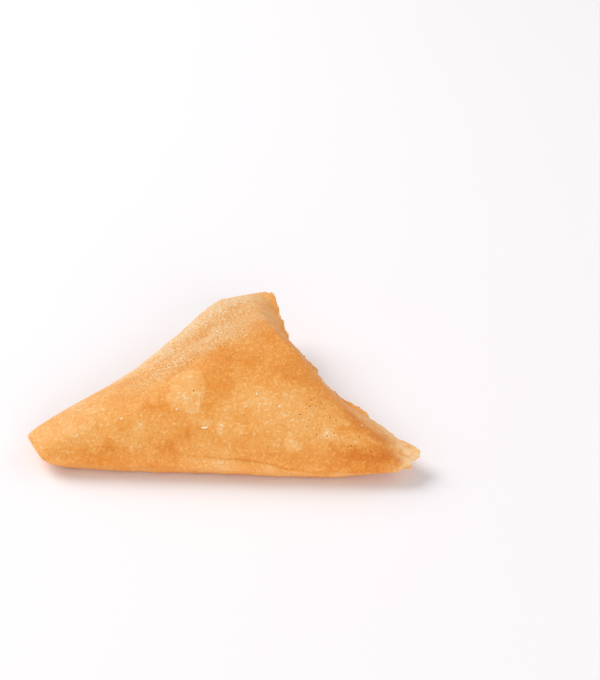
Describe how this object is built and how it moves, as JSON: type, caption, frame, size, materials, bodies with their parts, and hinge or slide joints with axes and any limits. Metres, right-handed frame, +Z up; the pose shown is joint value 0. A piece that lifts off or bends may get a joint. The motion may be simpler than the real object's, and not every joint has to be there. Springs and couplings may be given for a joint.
{
  "type": "samosa",
  "caption": "Fried triangular pastry parcel with a puffed body, smooth folded edges, blunt tips and a thin, wavy sealed edge; rests flat on its belly.",
  "frame": {"origin": "centre of the bounding box's bottom, on the flat spot of the belly that the samosa rests on", "axes": "+X along the long folded edge towards the sealed tip, +Y from the long folded edge towards the top corner, +Z up"},
  "size_m": [0.106, 0.0668, 0.0263],
  "materials": {
    "fried_pastry": "golden fried crust, satin with a little oil"
  },
  "bodies": {
    "root": {"samosa": "fried_pastry"}
  },
  "joints": []
}
